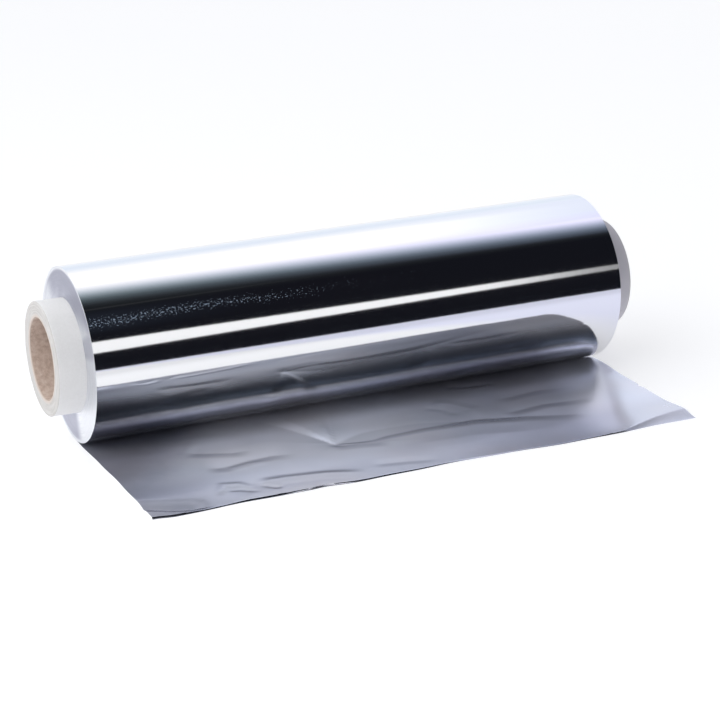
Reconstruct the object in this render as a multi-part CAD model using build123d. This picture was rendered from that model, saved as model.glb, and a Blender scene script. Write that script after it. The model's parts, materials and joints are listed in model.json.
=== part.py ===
"""Catering roll of aluminium foil on a spirally wound paper core.

The roll lies on its side with the last turn peeled off underneath and drawn out in front as a flat tail.
The web is one continuous strip, so the wound turns and the tail are one solid. The core is the other.

Frame, in millimetres: X runs along the roll's axis, and the tail reaches towards -Y. +Z is up. The origin is
on the axis, halfway along the foil. The tail's underside and the roll's resting flat share one plane below it.
"""

from build123d import *
import math
import os

# Foil web
FOIL_WIDTH = 300.0
FOIL_THICKNESS = 0.018
ROLL_DIAMETER = 92.0
TAIL_REACH = 124.0  # from straight below the axis to the tail's cut edge
REST_FLAT_WIDTH = 8.0  # where the roll's own weight flattens the turns it lies on

# Paper core
CORE_BORE_DIAMETER = 43.0
CORE_WALL = 8.5
CORE_OVERHANG_LEFT = 14.5  # core standing out of the foil at the -X end
CORE_OVERHANG_RIGHT = 16.0
CORE_EDGE_RADIUS = 0.6  # the saw-cut rims are burnished round

# Worked out from the sizes above
ROLL_RADIUS = ROLL_DIAMETER / 2
CORE_BORE_RADIUS = CORE_BORE_DIAMETER / 2
CORE_OUTER_RADIUS = CORE_BORE_RADIUS + CORE_WALL
REST_Z = -math.sqrt(ROLL_RADIUS**2 - (REST_FLAT_WIDTH / 2) ** 2)


def foil_web():
    """The wound turns and the tail, as one strip seen end on and extruded across its width."""
    tail_top = REST_Z + FOIL_THICKNESS
    nip_y = -math.sqrt(ROLL_RADIUS**2 - tail_top**2)  # where the tail leaves the turn above it
    back_of_flat = (REST_FLAT_WIDTH / 2, REST_Z)
    nip = (nip_y, tail_top)
    with BuildPart() as web:
        with BuildSketch(Plane.YZ):
            with BuildLine():
                ThreePointArc(back_of_flat, (0, ROLL_RADIUS), nip)
                Polyline(nip, (-TAIL_REACH, tail_top), (-TAIL_REACH, REST_Z), back_of_flat)
            make_face()
            Circle(CORE_OUTER_RADIUS, mode=Mode.SUBTRACT)
        extrude(amount=FOIL_WIDTH / 2, both=True)
    return web.part


def core_tube():
    """The tube that the foil is wound on, standing out past both ends of the foil."""
    length = CORE_OVERHANG_LEFT + FOIL_WIDTH + CORE_OVERHANG_RIGHT
    left_end = Plane.YZ.offset(-FOIL_WIDTH / 2 - CORE_OVERHANG_LEFT)
    with BuildPart() as core:
        with BuildSketch(left_end):
            Circle(CORE_OUTER_RADIUS)
            Circle(CORE_BORE_RADIUS, mode=Mode.SUBTRACT)
        extrude(amount=length)
        fillet(core.edges().filter_by(GeomType.CIRCLE), radius=CORE_EDGE_RADIUS)
    return core.part


os.makedirs("parts", exist_ok=True)
export_step(foil_web(), "parts/foil_web.step")
export_step(core_tube(), "parts/core_tube.step")
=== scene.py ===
"""Looks for a catering roll of aluminium foil on a spirally wound paper core.

Everything is in metres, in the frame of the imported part: X along the roll's axis, the tail towards -Y, +Z up.
Only the tail's creases are worked out in millimetres.
The roll is close to a mirror, so most of its look is the studio round it, which is the world shader below.
Angles round the roll's axis are in degrees: 0 is towards the front (-Y), 90 is up and 180 is the back.
"""

import json
import math

import bpy
import numpy as np
from mathutils import Matrix, Vector


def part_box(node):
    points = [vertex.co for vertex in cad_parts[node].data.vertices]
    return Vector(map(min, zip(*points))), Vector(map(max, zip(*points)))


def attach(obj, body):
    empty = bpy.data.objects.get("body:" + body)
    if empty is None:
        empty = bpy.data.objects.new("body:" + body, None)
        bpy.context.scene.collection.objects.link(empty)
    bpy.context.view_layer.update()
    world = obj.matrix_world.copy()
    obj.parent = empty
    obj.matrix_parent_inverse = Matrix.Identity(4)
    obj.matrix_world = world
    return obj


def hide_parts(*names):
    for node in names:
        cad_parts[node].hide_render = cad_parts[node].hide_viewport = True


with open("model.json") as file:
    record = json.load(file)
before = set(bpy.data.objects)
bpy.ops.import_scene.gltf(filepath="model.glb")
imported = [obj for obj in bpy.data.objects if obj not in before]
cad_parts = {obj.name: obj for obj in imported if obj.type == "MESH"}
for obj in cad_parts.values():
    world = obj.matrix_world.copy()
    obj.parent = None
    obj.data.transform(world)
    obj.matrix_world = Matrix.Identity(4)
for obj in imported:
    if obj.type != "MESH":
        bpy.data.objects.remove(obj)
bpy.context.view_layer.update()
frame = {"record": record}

MM = 0.001

# ---------------------------------------------------------------- sizes, from the frame
foil_low, foil_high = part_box("foil_web")
core_low, core_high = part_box("core_tube")
bore_mount = next(m for m in frame["record"]["mounts"] if m["name"] == "core_bore")

ROLL_RADIUS = foil_high.z
HALF_WIDTH = foil_high.x
FLOOR_Z = foil_low.z
TAIL_TIP_Y = foil_low.y
CORE_RADIUS = core_high.z
CORE_BORE_RADIUS = bore_mount["dims"]["r_mm"] * MM
FOIL_THICKNESS = 0.018 * MM
FLAT_HALF_WIDTH = math.sqrt(ROLL_RADIUS**2 - FLOOR_Z**2)

# ---------------------------------------------------------------- mesh fineness
FINE_COLUMNS = 232  # along the tail's width; the roll has half as many
TAIL_ROWS = 132
HEM_ROWS = 20  # of those, in the last few millimetres before the cut edge
ROLL_ROWS = 200
END_RINGS = 26
CORE_SIDES = 180
CORE_ROWS = 150  # along the bore
PLY_ROWS = 20  # across the core's wall at its ends
RIM_STEPS = 4

# ---------------------------------------------------------------- small sizes of the meshes
FOIL_BORE_CLEARANCE = 0.03 * MM
CORE_CLEARANCE = 0.02 * MM
HEM_LENGTH = 8.0 * MM
END_INSET = 0.10 * MM  # how far the wound edges lie inside the foil's width
RING_RELIEF = 0.05 * MM
RING_WOBBLE = 0.03 * MM
PLY_RELIEF = 0.05 * MM
CORE_EDGE_RADIUS = 0.6 * MM
CORE_STRIP_WIDTH = 88.0 * MM  # of the paper that is wound into the tube
SEAM_DEPTH = 0.22 * MM
SEAM_WIDTH = 0.9 * MM

# ---------------------------------------------------------------- camera
CAMERA_PLACE = Vector((-450.3, -1049.7, 356.9)) * MM
CAMERA_YAW = math.radians(23.83)
CAMERA_PITCH = math.radians(18.58)
CAMERA_ROLL = math.radians(-1.42)
CAMERA_LENS = 110.9
CAMERA_SENSOR = 36.0


# ================================================================ node helpers
class Graph:
    """Short calls for wiring a node tree."""

    def __init__(self, tree):
        self.tree = tree
        tree.nodes.clear()

    def add(self, kind, **settings):
        node = self.tree.nodes.new(kind)
        for name, value in settings.items():
            setattr(node, name, value)
        return node

    def feed(self, socket, value):
        """Link a socket into this one, or set it to a plain value."""
        if isinstance(value, bpy.types.NodeSocket):
            self.tree.links.new(value, socket)
        else:
            socket.default_value = value

    def math(self, operation, first, second=None, third=None):
        node = self.add("ShaderNodeMath", operation=operation)
        for socket, value in zip(node.inputs, (first, second, third)):
            if value is not None:
                self.feed(socket, value)
        return node.outputs[0]

    def step(self, value, low, high):
        """0 below low, 1 above high, and smooth between."""
        node = self.add("ShaderNodeMapRange", interpolation_type="SMOOTHSTEP")
        self.feed(node.inputs["Value"], value)
        self.feed(node.inputs["From Min"], low)
        self.feed(node.inputs["From Max"], high)
        return node.outputs["Result"]

    def band(self, value, low, high, soft):
        """1 between low and high, falling to 0 over soft on each side."""
        rise = self.step(value, self.math("SUBTRACT", low, soft), low)
        fall = self.step(value, high, self.math("ADD", high, soft))
        return self.math("MULTIPLY", rise, self.math("SUBTRACT", 1.0, fall))

    def times(self, first, second):
        return self.math("MULTIPLY", first, second)

    def fit(self, value, scale, offset):
        """value times scale, plus offset."""
        return self.math("MULTIPLY_ADD", value, scale, offset)

    def clamped(self, value, low, high):
        return self.math("MAXIMUM", self.math("MINIMUM", value, high), low)

    def colour_mix(self, factor, first, second, blend="MIX"):
        # the colour sockets share their names with the node's number sockets, so they go by place
        node = self.add("ShaderNodeMix", data_type="RGBA", blend_type=blend)
        self.feed(node.inputs[0], factor)
        self.feed(node.inputs[6], first)
        self.feed(node.inputs[7], second)
        return node.outputs[2]

    def multiplied(self, first, second):
        """One colour times another."""
        return self.colour_mix(1.0, first, second, blend="MULTIPLY")

    def cool_grey(self, shade, power):
        """A grey of that shade, which keeps more of its blue as it darkens when power is under 1."""
        return self.combine(shade, shade, self.math("POWER", shade, power))

    def ramp(self, value, stops):
        node = self.add("ShaderNodeValToRGB")
        node.color_ramp.interpolation = "LINEAR"
        elements = node.color_ramp.elements
        while len(elements) > 1:
            elements.remove(elements[-1])
        for index, (place, colour) in enumerate(stops):
            element = elements[0] if index == 0 else elements.new(place)
            element.position = place
            element.color = colour if len(colour) == 4 else (*colour, 1.0)
        self.feed(node.inputs[0], value)
        return node.outputs["Color"]

    def noise(self, vector, scale, detail=2.0, roughness=0.5, distortion=0.0):
        node = self.add("ShaderNodeTexNoise")
        self.feed(node.inputs["Vector"], vector)
        node.inputs["Scale"].default_value = scale
        node.inputs["Detail"].default_value = detail
        node.inputs["Roughness"].default_value = roughness
        node.inputs["Distortion"].default_value = distortion
        return node.outputs["Fac"]

    def combine(self, x, y, z):
        node = self.add("ShaderNodeCombineXYZ")
        for socket, value in zip(node.inputs, (x, y, z)):
            self.feed(socket, value)
        return node.outputs[0]

    def bump(self, height, distance, strength=1.0, normal=None):
        node = self.add("ShaderNodeBump")
        node.inputs["Distance"].default_value = distance
        self.feed(node.inputs["Strength"], strength)
        self.feed(node.inputs["Height"], height)
        if normal is not None:
            self.feed(node.inputs["Normal"], normal)
        return node.outputs[0]


def object_axes(graph):
    """The place in the object's own axes, whole and as its X, Y and Z."""
    place = graph.add("ShaderNodeTexCoord").outputs["Object"]
    split = graph.add("ShaderNodeSeparateXYZ")
    graph.feed(split.inputs[0], place)
    x, y, z = split.outputs
    return place, x, y, z


def angle_round_axis(graph, y, z):
    """Degrees round the roll's axis: 0 at the front and 90 on top."""
    return graph.math("DEGREES", graph.math("ARCTAN2", z, graph.times(y, -1.0)))


def distance_from_axis(graph, y, z):
    return graph.math("SQRT", graph.math("ADD", graph.times(y, y), graph.times(z, z)))


def new_material(name):
    material = bpy.data.materials.new(name)
    material.use_nodes = True
    graph = Graph(material.node_tree)
    shader = graph.add("ShaderNodeBsdfPrincipled")
    output = graph.add("ShaderNodeOutputMaterial")
    graph.feed(output.inputs["Surface"], shader.outputs[0])
    return material, graph, shader


# ================================================================ materials
def bright_foil():
    """The shiny rolled side: a near mirror with faint rolling lines and a streak of scuffs, whose pale blue is
    a painted glint.
    """
    material, graph, shader = new_material("foil_bright")
    place, x, y, z = object_axes(graph)
    angle = angle_round_axis(graph, y, z)
    along_web = graph.times(angle, 0.0004)
    lines_at = graph.combine(graph.times(x, 900.0), graph.times(along_web, 30.0), 0.0)
    rolling_lines = graph.noise(lines_at, 1.0, detail=4.0, roughness=0.6)
    peel = graph.noise(place, 420.0, detail=2.0)
    grain = graph.noise(place, 1500.0, detail=3.0, roughness=0.65)
    scuff_fade = graph.step(x, 0.12, -0.12)
    drift = graph.fit(graph.noise(place, 30.0, detail=1.0), 7.0, -3.5)
    scuff_angle = graph.math("ADD", angle, drift)
    scuff_band = graph.times(graph.band(scuff_angle, 36.0, 37.0, 7.5), scuff_fade)
    scuffs_at = graph.combine(graph.times(x, 900.0), angle, 0.0)
    specks = graph.noise(scuffs_at, 1.0, detail=3.0, roughness=0.7)
    # specks are rarer towards the streak's limits
    fewer = graph.fit(scuff_band, 0.20, -0.20)
    scuffs = graph.step(graph.math("ADD", specks, fewer), 0.535, 0.60)
    # the scuffs are matt, rough and bumpy for real; their pale blue colour is a painted glint
    bare, scuff_glint_blue = (0.88, 0.885, 0.905, 1.0), (0.58, 0.76, 1.0, 1.0)
    graph.feed(shader.inputs["Base Color"], graph.colour_mix(scuffs, bare, scuff_glint_blue))
    graph.feed(shader.inputs["Metallic"], graph.fit(scuffs, -0.40, 1.0))
    shader.inputs["Specular IOR Level"].default_value = 0.2
    rough = graph.fit(rolling_lines, 0.03, 0.055)
    # rubbed a little duller low on the front, by the tail
    rough = graph.fit(graph.step(angle, -27.0, -42.0), 0.085, rough)
    graph.feed(shader.inputs["Roughness"], graph.fit(scuffs, 0.12, rough))
    fine = graph.bump(rolling_lines, 0.00002, 0.15)
    peeled = graph.bump(peel, 0.00004, 0.10, normal=fine)
    grained = graph.bump(grain, 0.00006, graph.fit(scuffs, 0.4, 0.04), normal=peeled)
    graph.feed(shader.inputs["Normal"], grained)
    return material


def matt_foil():
    """The side that ran against the next sheet in the mill: a narrow shine under a haze seen at a glance."""
    material, graph, shader = new_material("foil_matt")
    place, x, y, _ = object_axes(graph)
    lines_at = graph.combine(graph.times(x, 700.0), graph.times(y, 12.0), 0.0)
    rolling_lines = graph.noise(lines_at, 1.0, detail=4.0, roughness=0.6)
    cloud = graph.noise(place, 28.0, detail=3.0)
    grain = graph.noise(place, 2600.0, detail=2.0)
    tint = graph.noise(place, 14.0, detail=2.0)
    cool, warm = (0.80, 0.84, 0.97), (0.90, 0.89, 0.97)
    metal = graph.ramp(tint, [(0.35, cool), (0.65, warm)])
    # painted shade: darker behind the left-hand edge and in a broad stripe right of the middle, up to the
    # slanting fold
    wander = graph.fit(cloud, 0.03, -0.015)
    left_slant = graph.math("ADD", graph.fit(y, -0.8, x), wander)
    right_slant = graph.fit(y, -0.3, x)
    past_fold = graph.step(right_slant, 0.118, 0.140)
    painted_shading = graph.fit(graph.step(left_slant, -0.098, -0.055), 0.48, 0.52)
    painted_shading = graph.fit(graph.step(graph.math("ADD", x, wander), -0.03, 0.095), -0.40, painted_shading)
    painted_shading = graph.fit(past_fold, 0.40, painted_shading)
    # painted shade towards the front edge, deeper at the left corner
    near_edge = graph.step(y, -0.078, -0.102)
    near_corner = graph.fit(graph.step(x, -0.100, -0.135), 0.26, 0.16)
    painted_edge_shade = graph.times(near_edge, near_corner)
    painted_shading = graph.times(painted_shading, graph.math("SUBTRACT", 1.0, painted_edge_shade))
    # painted shade, left of the right-hand corner: slopes that face away from the tail's free edge are darker
    # than those that face it, and steep slopes bent down towards the free edge are darker too
    normal = graph.add("ShaderNodeSeparateXYZ")
    graph.feed(normal.inputs[0], graph.add("ShaderNodeTexCoord").outputs["Normal"])
    slope = graph.times(normal.outputs[1], graph.step(x, 0.112, 0.092))
    painted_slope_shade = graph.clamped(graph.fit(slope, -1.3, 1.0), 0.72, 1.04)
    painted_bend_shade = graph.fit(graph.step(slope, -0.35, -0.55), -0.15, 1.0)
    shade = graph.times(graph.times(painted_shading, painted_slope_shade), painted_bend_shade)
    graph.feed(shader.inputs["Base Color"], graph.multiplied(metal, graph.cool_grey(shade, 0.9)))
    # the haze is thickest left of the middle and thinnest past the slanting fold
    thick = graph.band(graph.math("ADD", x, wander), -0.072, -0.015, 0.060)
    depth = graph.fit(thick, 0.14, 0.42)
    depth = graph.fit(past_fold, -0.10, depth)
    slope_haze = graph.clamped(graph.fit(slope, -2.4, 1.0), 0.72, 1.4)
    facing = graph.add("ShaderNodeLayerWeight").outputs["Facing"]
    haze = graph.times(graph.step(facing, 0.08, 0.42), graph.times(depth, slope_haze))
    graph.feed(shader.inputs["Metallic"], graph.math("SUBTRACT", 1.0, haze))
    shader.inputs["Specular IOR Level"].default_value = 0.2
    rough = graph.fit(graph.step(y, -0.100, -0.050), 0.07, 0.13)
    rough = graph.fit(cloud, 0.06, rough)
    graph.feed(shader.inputs["Roughness"], graph.fit(rolling_lines, 0.04, rough))
    fine = graph.bump(rolling_lines, 0.00002, 0.3)
    graph.feed(shader.inputs["Normal"], graph.bump(grain, 0.00002, 0.2, normal=fine))
    return material


def foil_edges():
    """The cut ends of all the wound turns: fine rings, a little uneven in tone, with painted shade over the
    upper half and in two patches.
    """
    material, graph, shader = new_material("foil_wound_edges")
    place, _, y, z = object_axes(graph)
    angle = angle_round_axis(graph, y, z)
    radius = distance_from_axis(graph, y, z)
    wander = graph.noise(place, 60.0, detail=2.0)
    ring_place = graph.fit(wander, 0.0006, radius)
    rings_at = graph.combine(graph.times(ring_place, 5200.0), graph.times(angle, 0.05), 0.0)
    rings = graph.noise(rings_at, 1.0, detail=3.0, roughness=0.7)
    coarse_at = graph.combine(graph.times(ring_place, 900.0), graph.times(angle, 0.02), 0.0)
    coarse = graph.noise(coarse_at, 1.0, detail=2.0)
    tone = graph.ramp(rings, [(0.3, (0.72, 0.74, 0.80)), (0.7, (0.97, 0.98, 1.0))])
    # painted shade: the upper half is darker, except on the outermost turns, which stay bright
    upper_shade_line = graph.fit(graph.noise(place, 45.0, detail=1.0), 0.030, z)
    painted_upper_shade = graph.step(upper_shade_line, 0.030, 0.048)
    inside_rim = graph.step(radius, ROLL_RADIUS - 0.8 * MM, ROLL_RADIUS - 2.4 * MM)
    # painted shadow low down under the core, and painted shade in a band a little above the front
    painted_lower_shadow = graph.times(graph.band(angle, -125.0, -84.0, 16.0), 0.9)
    painted_front_shade = graph.times(graph.band(angle, 16.0, 27.0, 7.0), 0.5)
    painted_patches = graph.math("MAXIMUM", painted_upper_shade, graph.math("MAXIMUM", painted_lower_shadow, painted_front_shade))
    shade = graph.fit(graph.times(painted_patches, inside_rim), -0.52, 1.0)
    graph.feed(shader.inputs["Base Color"], graph.multiplied(tone, graph.cool_grey(shade, 0.8)))
    shader.inputs["Metallic"].default_value = 1.0
    graph.feed(shader.inputs["Roughness"], graph.fit(coarse, 0.16, 0.30))
    fine = graph.bump(rings, 0.00008, 0.5)
    graph.feed(shader.inputs["Normal"], graph.bump(coarse, 0.00025, 0.35, normal=fine))
    return material


def white_paper():
    """The core's outer ply."""
    material, graph, shader = new_material("core_white_paper")
    place, x, _, _ = object_axes(graph)
    fibre = graph.noise(place, 900.0, detail=5.0, roughness=0.7)
    blotch = graph.noise(place, 70.0, detail=3.0)
    tone = graph.ramp(fibre, [(0.25, (0.88, 0.875, 0.875)), (0.75, (0.95, 0.945, 0.95))])
    shade = graph.ramp(blotch, [(0.3, (0.95, 0.95, 0.95)), (0.7, (1.0, 1.0, 1.0))])
    paper = graph.multiplied(tone, shade)
    # painted shade on the right-hand end, which lies in the roll's shadow
    painted_right_shade = graph.times(graph.step(x, 0.120, 0.152), 0.9)
    greyed = graph.colour_mix(painted_right_shade, paper, (0.62, 0.60, 0.66, 1.0))
    graph.feed(shader.inputs["Base Color"], greyed)
    graph.feed(shader.inputs["Roughness"], graph.fit(fibre, 0.2, 0.6))
    graph.feed(shader.inputs["Normal"], graph.bump(fibre, 0.00012, 0.35))
    return material


def cut_board():
    """The sawn end of the core: pressed plies of off-white board, browner towards the bore."""
    material, graph, shader = new_material("core_cut_end")
    place, _, y, z = object_axes(graph)
    angle = angle_round_axis(graph, y, z)
    radius = distance_from_axis(graph, y, z)
    wander = graph.noise(place, 160.0, detail=3.0)
    ply_place = graph.fit(wander, 0.0005, radius)
    ply_at = graph.combine(graph.times(ply_place, 1700.0), graph.times(angle, 0.03), 0.0)
    plies = graph.noise(ply_at, 1.0, detail=2.0, roughness=0.6)
    fuzz = graph.noise(place, 1300.0, detail=4.0, roughness=0.7)
    tone = graph.ramp(plies, [(0.3, (0.50, 0.48, 0.46)), (0.6, (0.66, 0.645, 0.63))])
    inner = graph.step(radius, CORE_BORE_RADIUS + 2.6 * MM, CORE_BORE_RADIUS)
    warm = graph.colour_mix(graph.times(inner, 0.55), tone, (0.70, 0.56, 0.47, 1.0))
    graph.feed(shader.inputs["Base Color"], warm)
    shader.inputs["Roughness"].default_value = 0.85
    fuzzed = graph.bump(fuzz, 0.0003, 0.5)
    graph.feed(shader.inputs["Normal"], graph.bump(plies, 0.0003, 0.4, normal=fuzzed))
    return material


def brown_board():
    """The bore's brown ply, with the mottling and stray fibres of recycled board."""
    material, graph, shader = new_material("core_brown_board")
    place, x, y, z = object_axes(graph)
    angle = angle_round_axis(graph, y, z)
    around = graph.times(angle, 0.00038)
    helix_at = graph.combine(graph.math("ADD", x, around), graph.math("SUBTRACT", around, x), 0.0)
    mottle = graph.noise(place, 330.0, detail=4.0, roughness=0.65)
    fibre = graph.noise(helix_at, 1400.0, detail=4.0, roughness=0.7, distortion=0.8)
    dark, middling, light = (0.50, 0.38, 0.31), (0.68, 0.55, 0.48), (0.80, 0.70, 0.63)
    tone = graph.ramp(mottle, [(0.28, dark), (0.5, middling), (0.72, light)])
    flecks = graph.ramp(fibre, [(0.35, (0.84, 0.82, 0.80)), (0.65, (1.0, 1.0, 1.0))])
    graph.feed(shader.inputs["Base Color"], graph.multiplied(tone, flecks))
    shader.inputs["Roughness"].default_value = 0.9
    rough = graph.bump(fibre, 0.0003, 0.4)
    graph.feed(shader.inputs["Normal"], graph.bump(mottle, 0.0006, 0.3, normal=rough))
    return material


def pale_floor():
    """A translucent white table, lit a little from below so that shadows on it stay light."""
    material, _, shader = new_material("pale_floor")
    shader.inputs["Base Color"].default_value = (0.55, 0.55, 0.56, 1.0)
    shader.inputs["Emission Color"].default_value = (0.98, 0.985, 1.0, 1.0)
    shader.inputs["Emission Strength"].default_value = 0.58
    shader.inputs["Roughness"].default_value = 1.0
    shader.inputs["Specular IOR Level"].default_value = 0.0
    return material


def mirrored_floor():
    """The table as the foil shows it: dimmer further in front, and fainter and bluer to the right."""
    material, graph, shader = new_material("pale_floor_mirrored")
    _, x, y, _ = object_axes(graph)
    far_front = graph.times(graph.step(y, -0.17, -0.27), 0.16)
    to_right = graph.step(graph.fit(y, -0.65, x), 0.165, 0.235)
    level = graph.math("SUBTRACT", 1.0, far_front)
    tinted = graph.colour_mix(to_right, (1.0, 1.0, 1.0, 1.0), (0.84, 0.85, 0.98, 1.0))
    tone = graph.multiplied(graph.combine(level, level, level), tinted)
    lit = graph.multiplied(tone, (0.74, 0.74, 0.75, 1.0))
    graph.feed(shader.inputs["Base Color"], lit)
    graph.feed(shader.inputs["Emission Color"], tone)
    shader.inputs["Emission Strength"].default_value = 0.38
    shader.inputs["Roughness"].default_value = 1.0
    shader.inputs["Specular IOR Level"].default_value = 0.0
    return material


# ================================================================ the tail's creases, in millimetres
def smooth(value, low, high):
    """0 at low, 1 at high, and smooth between; low may be the larger."""
    t = np.clip((value - low) / (high - low), 0.0, 1.0)
    return t * t * (3.0 - 2.0 * t)


def crease(x, y, path, height, behind, ahead):
    """A fold along the points of path, which run towards +X: a ridge, or a valley where height is negative.

    behind and ahead are how far its two sides reach towards +Y and -Y; the shorter side is the steeper.
    """
    best = np.full_like(x, np.inf)
    side = np.zeros_like(x)
    along = np.zeros_like(x)
    runs = list(zip(path[:-1], path[1:]))
    for index, ((x0, y0), (x1, y1)) in enumerate(runs):
        dx, dy = x1 - x0, y1 - y0
        t = np.clip(((x - x0) * dx + (y - y0) * dy) / (dx * dx + dy * dy), 0.0, 1.0)
        off_x, off_y = x - (x0 + t * dx), y - (y0 + t * dy)
        distance = np.hypot(off_x, off_y)
        nearer = distance < best
        best = np.where(nearer, distance, best)
        side = np.where(nearer, dx * off_y - dy * off_x, side)
        along = np.where(nearer, (index + t) / len(runs), along)
    reach = np.where(side > 0.0, behind, ahead)
    depth = np.clip(1.0 - np.hypot(best, 0.9) / reach, 0.0, 1.0) ** 1.6  # the fold's own line is rounded
    return height * depth * smooth(along, 0.0, 0.2) * smooth(along, 1.0, 0.7)


def pit(x, y, centre_x, centre_y, size, height):
    """A small round dimple, or a bump where height is positive."""
    return height * np.exp(-(((x - centre_x) ** 2 + (y - centre_y) ** 2) / size**2))


def cone(x, y, centre_x, centre_y, folds, reach):
    """Facets that fan out from one point. folds gives each fold's direction in degrees and its steepness."""
    radius = np.hypot(x - centre_x, y - centre_y)
    direction = np.degrees(np.arctan2(y - centre_y, x - centre_x))
    directions, slopes = zip(*folds)
    steepness = np.interp(direction, directions, slopes, period=360.0)
    return radius * np.exp(-((radius / reach) ** 1.5)) * steepness


# the dent's facets and the bright wedge beside it: each fold's direction in degrees, and its steepness
DENT_FOLDS = [
    (-150, 0.0),
    (-60, 0.02),
    (-20, 0.03),
    (0, -0.04),
    (30, 0.0),
    (74, 0.07),
    (112, -0.03),
    (150, 0.0),
]
WEDGE_FOLDS = [(70, 0.0), (82, 0.085), (102, 0.075), (114, 0.0)]
LONG_FOLD = [(-48, -71), (-12, -70), (16, -70), (46, -73), (70, -81), (112, -99)]


def tail_creases(x, y):
    """All the folds and lumps of the tail."""
    # the dent left of the middle, its bright facet, and the long fold that runs from it to the right
    lift = crease(x, y, LONG_FOLD, -0.78, 34.0, 8.5)
    lift += crease(x, y, [(-38, -75), (-22, -78), (-6, -82)], -0.40, 22.0, 7.5)
    lift += cone(x, y, -34.0, -72.0, DENT_FOLDS, 17.0)
    lift += cone(x, y, -34.0, -72.0, WEDGE_FOLDS, 27.0)
    lift += pit(x, y, -34.0, -72.5, 2.6, -0.30)
    # the pair of short folds in the left half
    lift += crease(x, y, [(-108, -49), (-98, -55), (-86, -60), (-74, -62)], -0.52, 24.0, 7.5)
    lift += crease(x, y, [(-106, -75), (-96, -77), (-82, -74), (-70, -73), (-56, -77)], -0.56, 20.0, 7.5)
    lift += crease(x, y, [(-96, -80), (-84, -77), (-72, -78)], 0.16, 3.0, 7.0)
    # soft folds that cross the right half
    lift += crease(x, y, [(54, -20), (66, -24), (84, -27)], -0.36, 8.0, 5.5)
    lift += crease(x, y, [(36, -40), (45, -46), (52, -58), (50, -72)], 0.26, 7.0, 9.0)
    lift += crease(x, y, [(30, -44), (38, -52), (42, -64)], -0.22, 5.0, 5.0)
    lift += crease(x, y, [(62, -73), (88, -70), (120, -74)], -0.42, 15.0, 7.0)
    lift += crease(x, y, [(68, -53), (96, -49), (124, -53)], -0.28, 15.0, 7.0)
    lift += crease(x, y, [(0, -92), (36, -94), (70, -104)], 0.12, 14.0, 12.0)
    # lumps behind the front edge
    lift += crease(x, y, [(-112, -112), (-105, -99), (-98, -101), (-93, -110)], 0.42, 4.0, 5.0)
    lift += crease(x, y, [(-106, -106), (-99, -109), (-92, -116)], -0.36, 3.0, 3.5)
    lift += crease(x, y, [(-90, -103), (-74, -104), (-54, -108), (-34, -115)], 0.55, 5.0, 10.0)
    lift += crease(x, y, [(-88, -107), (-84, -113), (-80, -116)], -0.45, 3.5, 3.5)
    lift += crease(x, y, [(-30, -108), (-12, -112), (6, -118)], -0.18, 8.0, 5.0)
    return lift


def tail_lift(x, y):
    """How far the tail's web stands off the surface it lies on."""
    from_nip = -FLAT_HALF_WIDTH / MM - y
    to_edge = y - TAIL_TIP_Y / MM
    flat_out = smooth(from_nip, 8.0, 32.0)
    lift = 0.80 * smooth(from_nip, 2.0, 40.0)
    lift -= (0.15 + 0.22 * smooth(x, -50.0, 60.0)) * smooth(to_edge, 75.0, 2.0)
    lift += 0.040 * np.sin(y / 5.3 + 1.6 * np.sin(x / 38.0) + 1.1) * flat_out
    lift += 0.055 * np.sin(y / 8.1 - 1.9 * np.sin(x / 61.0 + 0.8)) * flat_out
    lift += 0.110 * np.sin(x / 23.0 + y / 40.0) * flat_out
    lift += 0.160 * np.sin(x / 31.0 - y / 17.0 + 0.5) * flat_out * smooth(to_edge, 0.0, 25.0)
    lift += 0.6 * smooth(x, -100.0, -152.0) * smooth(from_nip, 25.0, 95.0)
    lift += 1.7 * smooth(x, 138.0, 151.0) * smooth(from_nip, 0.0, 14.0) * smooth(from_nip, 45.0, 18.0)
    lift += tail_creases(x, y) * smooth(from_nip, 4.0, 14.0)
    # the front left corner dips along a fold and lies flat beyond it
    lift += crease(x, y, [(-158, -108), (-146, -114), (-134, -119), (-116, -123)], -1.1, 13.0, 3.5)
    # the cut edge is turned down sharply, and in a broad flap towards the right-hand corner
    corner = smooth(x, 98.0, 150.0)
    hem = 0.55 + 0.20 * np.sin(x / 13.0) * np.sin(x / 31.0 + 1.0) + 10.4 * corner
    rise = 0.45 * smooth(x, -116.0, -98.0) * smooth(x, -34.0, -56.0) + 1.5 * smooth(x, 84.0, 152.0)
    lift += rise * smooth(to_edge, 22.0 + hem, hem)
    still_up = np.clip(to_edge / hem, 0.0, 1.0) ** (0.9 + 0.6 * corner)
    lift = lift * still_up + 0.05 * (1.0 - still_up)
    return np.maximum(lift, 0.0) * smooth(from_nip, 0.0, 10.0)


def tail_shift(x, y):
    """Sideways wander of the cut edges: (along X, along Y)."""
    from_nip = -FLAT_HALF_WIDTH / MM - y
    to_edge = y - TAIL_TIP_Y / MM
    near_front = smooth(to_edge, 26.0, 0.0)
    front = 0.9 * np.sin(x / 19.0 + 0.6) + 0.7 * np.sin(x / 47.0 + 2.1) + 0.25 * np.sin(x / 6.1)
    front += 2.2 * smooth(x, -138.0, -150.0) + 1.0 * smooth(x, -70.0, -60.0) * smooth(x, -45.0, -60.0)
    near_side = smooth(np.abs(x), HALF_WIDTH / MM - 14.0, HALF_WIDTH / MM)
    side = 0.16 * np.sin(y / 13.0) + 0.12 * np.sin(y / 5.7 + 1.0)
    nick = -1.3 * np.exp(-(((y + 67.5) / 1.6) ** 2)) * smooth(x, HALF_WIDTH / MM - 5.0, HALF_WIDTH / MM)
    return (side * near_side + nick) * smooth(from_nip, 0.0, 12.0), front * near_front


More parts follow.
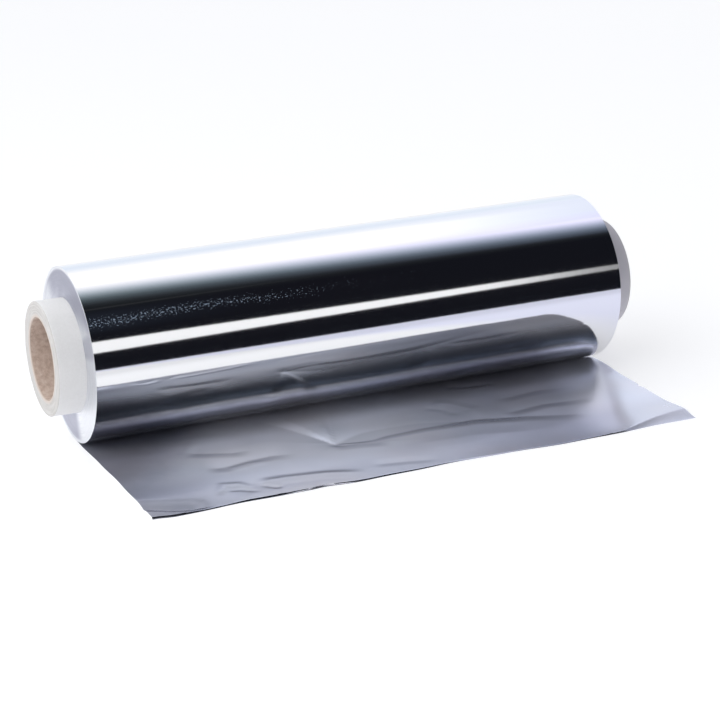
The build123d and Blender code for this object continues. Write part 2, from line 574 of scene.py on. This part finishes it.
def roll_ripple(x, angle):
    """Slight unevenness of the wound roll, as a change of radius in millimetres."""
    ripple = 0.0045 * np.sin(angle * 13.0 + 1.3 * np.sin(x / 55.0))
    ripple += 0.0030 * np.sin(angle * 23.0 - 1.1 * np.sin(x / 33.0 + 1.9) + 0.8)
    ripple += 0.0100 * np.sin(x / 41.0 + 0.6 * np.sin(angle * 2.0))
    return ripple


# ================================================================ mesh building
class Builder:
    """Collects points, faces and each face's material index for one mesh."""

    def __init__(self):
        self.points = []
        self.faces = []
        self.slots = []

    def add_points(self, array):
        """Append an (n, 3) array and return the new points' numbers."""
        first = sum(len(a) for a in self.points)
        self.points.append(np.asarray(array, float).reshape(-1, 3))
        return np.arange(first, first + len(self.points[-1]))

    def add_face(self, corners, slot):
        self.faces.append([int(c) for c in corners])
        self.slots.append(slot)

    def make(self, name, materials):
        mesh = bpy.data.meshes.new(name)
        mesh.from_pydata(np.concatenate(self.points).tolist(), [], self.faces)
        for material in materials:
            mesh.materials.append(material)
        mesh.polygons.foreach_set("material_index", self.slots)
        mesh.polygons.foreach_set("use_smooth", [True] * len(self.faces))
        mesh.validate()
        mesh.update()
        piece = bpy.data.objects.new(name, mesh)
        bpy.context.scene.collection.objects.link(piece)
        return piece


def sharpen(mesh, limit_degrees):
    """Keep shading apart across edges that turn by more than the limit."""
    mesh.set_sharp_from_angle(angle=math.radians(limit_degrees))


def wound_end(build, loop, merged, sign, rng, slot):
    """Rings of wound edges from the rim at one end in to the bore; returns the last ring's points.

    loop is the rim. Its point number merged is the nip and the next one is the web under it, and these two
    share each ring's point.
    """
    column = [i if i <= merged else i - 1 for i in range(len(loop))]
    points = np.concatenate(build.points)
    rim = np.array([points[loop[column.index(c)]] for c in range(len(loop) - 1)])
    directions = np.arctan2(rim[:, 2], rim[:, 1])
    bore = CORE_RADIUS + FOIL_BORE_CLEARANCE
    inner = np.stack([rim[:, 0], bore * np.cos(directions), bore * np.sin(directions)], 1)
    steps = rng.normal(0.0, RING_RELIEF, END_RINGS)
    waves = rng.uniform(0.0, 2.0 * math.pi, END_RINGS)
    rings = []
    for part, offset, wave in zip(np.linspace(0.0, 1.0, END_RINGS + 1)[1:], steps, waves):
        ring = rim * (1.0 - part) + inner * part
        wobble = RING_WOBBLE * np.sin(3.0 * directions + wave)
        ring[:, 0] -= sign * (END_INSET + offset + wobble)
        rings.append(build.add_points(ring))

    def face(corners):
        build.add_face(corners[::-1] if sign < 0.0 else corners, slot)

    for i in range(len(loop)):
        j = (i + 1) % len(loop)
        a, b = rings[0][column[i]], rings[0][column[j]]
        face([loop[i], loop[j], b] if a == b else [loop[i], loop[j], b, a])
    for outer_ring, inner_ring in zip(rings[:-1], rings[1:]):
        for i in range(len(inner_ring)):
            j = (i + 1) % len(inner_ring)
            face([outer_ring[i], outer_ring[j], inner_ring[j], inner_ring[i]])
    return rings[-1]


def foil_mesh(materials):
    """The wound turns and the tail as one closed mesh: materials are bright, matt and wound edges."""
    BRIGHT, MATT, EDGES = range(3)
    build = Builder()
    fine_x = np.linspace(-HALF_WIDTH, HALF_WIDTH, FINE_COLUMNS + 1)
    coarse_x = fine_x[::2]

    # round the roll, from behind its resting flat, over the top, to the nip where the tail leaves it
    nip_z = FLOOR_Z + FOIL_THICKNESS
    nip_y = -math.sqrt(ROLL_RADIUS**2 - nip_z**2)
    start = math.atan2(FLOOR_Z, FLAT_HALF_WIDTH)
    stop = math.atan2(nip_z, nip_y) + 2.0 * math.pi
    turn = np.linspace(start, stop, ROLL_ROWS + 1)
    steady = np.sin(np.linspace(0.0, math.pi, ROLL_ROWS + 1)) ** 0.3  # no ripple where the flat and nip are

    def arc_row(index, xs):
        radius = ROLL_RADIUS + roll_ripple(xs / MM, turn[index]) * MM * steady[index]
        return np.stack([xs, radius * math.cos(turn[index]), radius * math.sin(turn[index])], 1)

    first_arc = build.add_points(arc_row(0, fine_x))
    arc = [build.add_points(arc_row(i, coarse_x)) for i in range(1, ROLL_ROWS)]

    # the tail, from the nip to its cut edge, top and underside
    hem_start = TAIL_TIP_Y + HEM_LENGTH
    main_y = np.linspace(nip_y, hem_start, TAIL_ROWS - HEM_ROWS + 1)[:-1]
    hem_y = TAIL_TIP_Y + (hem_start - TAIL_TIP_Y) * np.linspace(1.0, 0.0, HEM_ROWS + 1) ** 1.6
    tail_y = np.concatenate([main_y, hem_y])

    def tail_row(y, drop):
        ys = np.full_like(fine_x, y)
        lift = tail_lift(fine_x / MM, ys / MM) * MM
        shift_x, shift_y = tail_shift(fine_x / MM, ys / MM)
        return np.stack([fine_x + shift_x * MM, ys + shift_y * MM, nip_z + lift - drop], 1)

    top = [build.add_points(tail_row(y, 0.0)) for y in tail_y]
    under = [build.add_points(tail_row(y, FOIL_THICKNESS)) for y in tail_y]
    middle = build.add_points(np.stack([fine_x, np.zeros_like(fine_x), np.full_like(fine_x, FLOOR_Z)], 1))

    def skin(row_a, row_b, slot):
        for j in range(len(row_a) - 1):
            build.add_face((row_a[j], row_b[j], row_b[j + 1], row_a[j + 1]), slot)

    def split_skin(row_a, row_b, slot, facing_up):
        """Like skin, in triangles cut the same way on both faces of the web so that neither pokes through."""
        for j in range(len(row_a) - 1):
            a, b, c, d = row_a[j], row_b[j], row_b[j + 1], row_a[j + 1]
            for corners in ((a, b, c), (a, c, d)):
                build.add_face(corners if facing_up else corners[::-1], slot)

    def stitch(fine, coarse, slot, fine_first):
        """Join a fine row to a row with half its columns."""
        for j in range(len(coarse) - 1):
            a, b, c = fine[2 * j], fine[2 * j + 1], fine[2 * j + 2]
            d, e = coarse[j], coarse[j + 1]
            corners = (a, d, e, c, b) if fine_first else (d, a, b, c, e)
            build.add_face(corners, slot)

    stitch(first_arc, arc[0], BRIGHT, True)
    for a, b in zip(arc[:-1], arc[1:]):
        skin(a, b, BRIGHT)
    stitch(top[0], arc[-1], BRIGHT, False)
    for a, b in zip(top[:-1], top[1:]):
        split_skin(a, b, MATT, True)
    skin(top[-1], under[-1], BRIGHT)
    for a, b in zip(under[:-1], under[1:]):
        split_skin(a, b, BRIGHT, False)
    skin(under[0], middle, BRIGHT)
    skin(middle, first_arc, BRIGHT)

    # the ends: the tail's hair-thin side edges, then rings of wound edges in to the bore
    rng = np.random.default_rng(11)
    bores = []
    for end, sign in ((0, -1.0), (-1, 1.0)):
        for k in range(TAIL_ROWS):
            corners = [top[k][end], under[k][end], under[k + 1][end], top[k + 1][end]]
            build.add_face(corners if sign < 0.0 else corners[::-1], EDGES)
        loop = [first_arc[end]] + [row[end] for row in arc] + [top[0][end], under[0][end], middle[end]]
        bores.append(wound_end(build, loop, len(arc) + 1, sign, rng, EDGES))
    left_bore, right_bore = bores
    for i in range(len(left_bore)):
        j = (i + 1) % len(left_bore)
        build.add_face((right_bore[i], right_bore[j], left_bore[j], left_bore[i]), EDGES)

    piece = build.make("foil", materials)
    sharpen(piece.data, 50.0)
    return piece


def core_section(outside, cut, bore):
    """(x, radius, material) round the tube's section: outside, right end, bore and left end."""
    outer = CORE_RADIUS - CORE_CLEARANCE
    edge = CORE_EDGE_RADIUS
    left = core_low.x + edge
    right = core_high.x - edge
    exposed = np.linspace(0.0, 18.0 * MM, 15)
    hidden = 20.0 * MM  # from each end, past which the foil covers the tube
    bore_x = np.linspace(left, right, CORE_ROWS)
    covered = (bore_x > core_low.x + hidden) & (bore_x < core_high.x - hidden)
    plies = np.linspace(outer - edge, CORE_BORE_RADIUS + edge, PLY_ROWS)[1:-1]
    relief = np.abs(np.random.default_rng(5).normal(0.0, PLY_RELIEF, PLY_ROWS))[1:-1]

    def rim(x, radius, start):
        """A burnished edge: a quarter circle round that point, clockwise from start in degrees."""
        turned = np.radians(start - np.linspace(0.0, 90.0, RIM_STEPS + 1))
        return [(x + edge * math.cos(t), radius + edge * math.sin(t), cut) for t in turned]

    rows = [(x, outer, outside) for x in bore_x[covered][::12]]
    rows += [(right - d, outer, outside) for d in exposed[::-1]]
    rows += rim(right, outer - edge, 90.0)[1:]
    rows += [(core_high.x - r, p, cut) for p, r in zip(plies, relief)]
    rows += rim(right, CORE_BORE_RADIUS + edge, 0.0)
    rows += [(x, CORE_BORE_RADIUS, bore) for x in bore_x[-2:0:-1]]
    rows += [(left, CORE_BORE_RADIUS, bore)]
    rows += rim(left, CORE_BORE_RADIUS + edge, -90.0)[1:]
    rows += [(core_low.x + r, p, cut) for p, r in zip(plies[::-1], relief[::-1])]
    rows += rim(left, outer - edge, -180.0)[:-1]
    rows += [(left + d, outer, outside) for d in exposed]
    return rows


def core_mesh(materials):
    """The paper tube as one closed mesh: materials are white outside, cut ends and brown bore."""
    OUTSIDE, CUT, BORE = range(3)
    build = Builder()
    around = np.linspace(0.0, 2.0 * math.pi, CORE_SIDES, endpoint=False)

    def seam(x, start_turn):
        """Depth of the line where one turn of the spiral strip meets the next."""
        helix = x / CORE_STRIP_WIDTH - (around / (2.0 * math.pi) + start_turn)
        off = np.abs(helix - np.round(helix)) * CORE_STRIP_WIDTH
        return SEAM_DEPTH * np.exp(-((off / SEAM_WIDTH) ** 2))

    rows = core_section(OUTSIDE, CUT, BORE)
    numbered = []
    for x, radius, slot in rows:
        wall = np.full(CORE_SIDES, radius)
        if slot == OUTSIDE:
            wall -= seam(x, 0.10) * 0.5
        if slot == BORE:
            wall += seam(x, 0.62)
            wall += 0.05 * MM * np.sin(5.0 * around + x / (9.0 * MM))
        ring = np.stack([np.full(CORE_SIDES, x), wall * np.cos(around), wall * np.sin(around)], 1)
        numbered.append(build.add_points(ring))
    for index in range(len(rows)):
        after = (index + 1) % len(rows)
        slot = rows[after][2]
        a, b = numbered[index], numbered[after]
        for i in range(CORE_SIDES):
            j = (i + 1) % CORE_SIDES
            build.add_face((a[i], a[j], b[j], b[i]), slot)
    piece = build.make("paper_core", materials)
    sharpen(piece.data, 60.0)
    return piece


# ================================================================ studio
DARK, WHITE, BRIGHT = (0.007, 0.0075, 0.011), (1.10, 1.10, 1.11), (1.40, 1.40, 1.41)
# the room's tone by height, in degrees: -90 is straight down, 0 is in front of the roll, 90 is straight up,
# 180 is behind it and 270 is straight down again
SURROUND = [
    (-90.0, DARK),
    (68.0, DARK),
    (76.0, (0.012, 0.014, 0.016)),
    (80.0, (0.020, 0.023, 0.026)),
    (83.0, (0.038, 0.046, 0.052)),
    (87.0, (0.070, 0.088, 0.098)),
    (91.0, (0.135, 0.170, 0.185)),
    (95.0, (0.26, 0.31, 0.335)),
    (99.0, (0.44, 0.50, 0.54)),
    (102.5, (0.64, 0.69, 0.74)),
    (106.0, (0.86, 0.89, 0.93)),
    (110.0, WHITE),
    (116.0, BRIGHT),
    (136.0, BRIGHT),
    (144.0, WHITE),
    (152.0, (0.93, 0.98, 1.06)),
    (160.0, (0.84, 0.91, 1.02)),
    (172.0, (0.89, 0.95, 1.03)),
    (190.0, WHITE),
    (270.0, WHITE),
]


def ceiling(graph, x, height):
    """The room's own tone, whose ceiling comes lower in front, and is tinted, to the right."""
    stops = [((angle + 90.0) / 360.0, colour) for angle, colour in SURROUND]
    at_right = graph.times(graph.step(x, 0.22, 0.52), graph.band(height, 78.0, 104.0, 14.0))
    lowered = graph.fit(at_right, 10.3, height)
    base = graph.ramp(graph.math("DIVIDE", graph.math("ADD", lowered, 90.0), 360.0), stops)
    tinted = graph.times(graph.step(x, 0.36, 0.50), graph.band(height, 104.0, 150.0, 8.0))
    base = graph.colour_mix(tinted, base, (0.88, 0.93, 1.07, 1.0))
    return graph.colour_mix(at_right, base, (1.0, 0.96, 1.16, 1.0), blend="MULTIPLY")


def strip_light(graph, x, height):
    """The long light in front, narrower and dimmer to the right, and a faint glint and hairline above it."""
    across = graph.step(x, 0.24, 0.50)
    strip = graph.band(height, graph.fit(across, 4.0, 15.6), graph.fit(across, -4.0, 29.0), 1.2)
    strip = graph.times(strip, graph.fit(graph.step(x, 0.43, 0.50), -0.75, 1.02))
    glint = graph.times(graph.band(height, 48.0, 62.0, 12.0), graph.step(x, 0.36, 0.24))
    hairline = graph.times(graph.band(height, 72.6, 73.2, 0.8), graph.step(x, 0.40, 0.28))
    white_part = graph.fit(hairline, 0.02, strip)
    return graph.combine(*(graph.fit(glint, share, white_part) for share in (0.008, 0.011, 0.016)))


def room_dimness(graph, x, height):
    """What is left of the room's light where it is dimmer."""
    # the ceiling ends to the right of the roll, and the far right of the room is dimmer
    ceiling_end = graph.times(graph.step(x, 0.49, 0.54), graph.band(height, 40.0, 146.0, 6.0))
    left_over = graph.fit(ceiling_end, -0.80, 1.0)
    left_over = graph.times(left_over, graph.fit(graph.step(x, 0.60, 0.85), -0.35, 1.0))
    # so is the wall behind the roll, towards the left
    rear = graph.times(graph.step(x, 0.20, 0.02), graph.band(height, 156.0, 196.0, 14.0))
    left_over = graph.times(left_over, graph.fit(rear, -0.45, 1.0))
    return graph.combine(left_over, left_over, left_over)


def studio_world():
    """A white surround behind and above, and a dark room in front with one long strip light in it."""
    world = bpy.data.worlds.new("studio")
    world.use_nodes = True
    graph = Graph(world.node_tree)
    split = graph.add("ShaderNodeSeparateXYZ")
    graph.feed(split.inputs[0], graph.add("ShaderNodeTexCoord").outputs["Generated"])
    x, y, z = split.outputs
    raw = angle_round_axis(graph, y, z)
    # angles below the back run on past 180 instead of starting again at -180
    height = graph.fit(graph.math("LESS_THAN", raw, -90.0), 360.0, raw)
    lit = graph.colour_mix(1.0, ceiling(graph, x, height), strip_light(graph, x, height), blend="ADD")
    room = graph.multiplied(lit, room_dimness(graph, x, height))
    # the camera itself sees a plain white backdrop
    camera_ray = graph.add("ShaderNodeLightPath").outputs["Is Camera Ray"]
    background = graph.add("ShaderNodeBackground")
    graph.feed(background.inputs["Color"], graph.colour_mix(camera_ray, room, (1.0, 1.0, 1.0, 1.0)))
    output = graph.add("ShaderNodeOutputWorld")
    graph.feed(output.inputs["Surface"], background.outputs[0])
    bpy.context.scene.world = world


def flat_piece(name, corners, z, material):
    build = Builder()
    numbers = build.add_points([(x, y, z) for x, y in corners])
    build.add_face(numbers, 0)
    piece = build.make(name, [material])
    return piece


TABLE_REACH = 4.0
TABLE_FRONT = (-0.035, -0.470)  # a point on the table's slanting front edge
TABLE_FRONT_SLOPE = 0.284
FLOOR_REACH = 40.0


def table_front(x):
    return TABLE_FRONT[1] + (x - TABLE_FRONT[0]) * TABLE_FRONT_SLOPE


def studio_floor():
    """A pale floor, and the table that only the foil sees in place of it."""
    left, right = -TABLE_REACH, TABLE_REACH
    front = [(left, table_front(left)), (right, table_front(right))]
    corners = front + [(right, TABLE_REACH), (left, TABLE_REACH)]
    table = flat_piece("table", corners, FLOOR_Z - 0.02 * MM, mirrored_floor())
    table.visible_camera = False
    table.visible_diffuse = False
    table.visible_shadow = False
    far = FLOOR_REACH
    corners = [(-far, -far), (far, -far), (far, far), (-far, far)]
    floor = flat_piece("floor", corners, FLOOR_Z - 0.04 * MM, pale_floor())
    floor.visible_glossy = False


def hide_from_foil(light):
    """Softboxes light the paper, the floor and the matt side's haze, but don't show in the foil."""
    light.visible_glossy = False
    bpy.context.scene.collection.objects.link(light)


def aim(light, place, target):
    light.location = place
    light.rotation_euler = (Vector(target) - Vector(place)).to_track_quat("-Z", "Y").to_euler()


def soft_light(name, place, target, size, power):
    """A square softbox."""
    lamp = bpy.data.lights.new(name, "AREA")
    lamp.shape = "SQUARE"
    lamp.size = size
    lamp.energy = power
    light = bpy.data.objects.new(name, lamp)
    aim(light, place, target)
    hide_from_foil(light)


def sky_light(name, place, strength, spread_degrees):
    """Even light from one wide patch of ceiling, the same all over the floor."""
    lamp = bpy.data.lights.new(name, "SUN")
    lamp.energy = strength
    lamp.angle = math.radians(spread_degrees)
    light = bpy.data.objects.new(name, lamp)
    aim(light, place, (0.0, 0.0, 0.0))
    hide_from_foil(light)


def studio_camera():
    data = bpy.data.cameras.new("camera")
    data.lens = CAMERA_LENS
    data.sensor_width = CAMERA_SENSOR
    camera = bpy.data.objects.new("camera", data)
    turn = Matrix.Rotation(-CAMERA_YAW, 4, "Z")
    tip = Matrix.Rotation(math.pi / 2.0 - CAMERA_PITCH, 4, "X")
    camera.matrix_world = Matrix.Translation(CAMERA_PLACE) @ turn @ tip @ Matrix.Rotation(CAMERA_ROLL, 4, "Z")
    bpy.context.scene.collection.objects.link(camera)
    bpy.context.scene.camera = camera


# ================================================================ the object
foil = foil_mesh([bright_foil(), matt_foil(), foil_edges()])
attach(foil, "root")
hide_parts("foil_web")

core = core_mesh([white_paper(), cut_board(), brown_board()])
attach(core, "root")
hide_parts("core_tube")

studio_world()
studio_floor()
sky_light("ceiling", (-0.9, -0.2, 1.6), 0.75, 75.0)
soft_light("left_key", (-1.05, -0.45, 0.85), (-0.1, 0.0, 0.0), 1.1, 8.0)
studio_camera()
bpy.context.scene.view_settings.view_transform = "Standard"
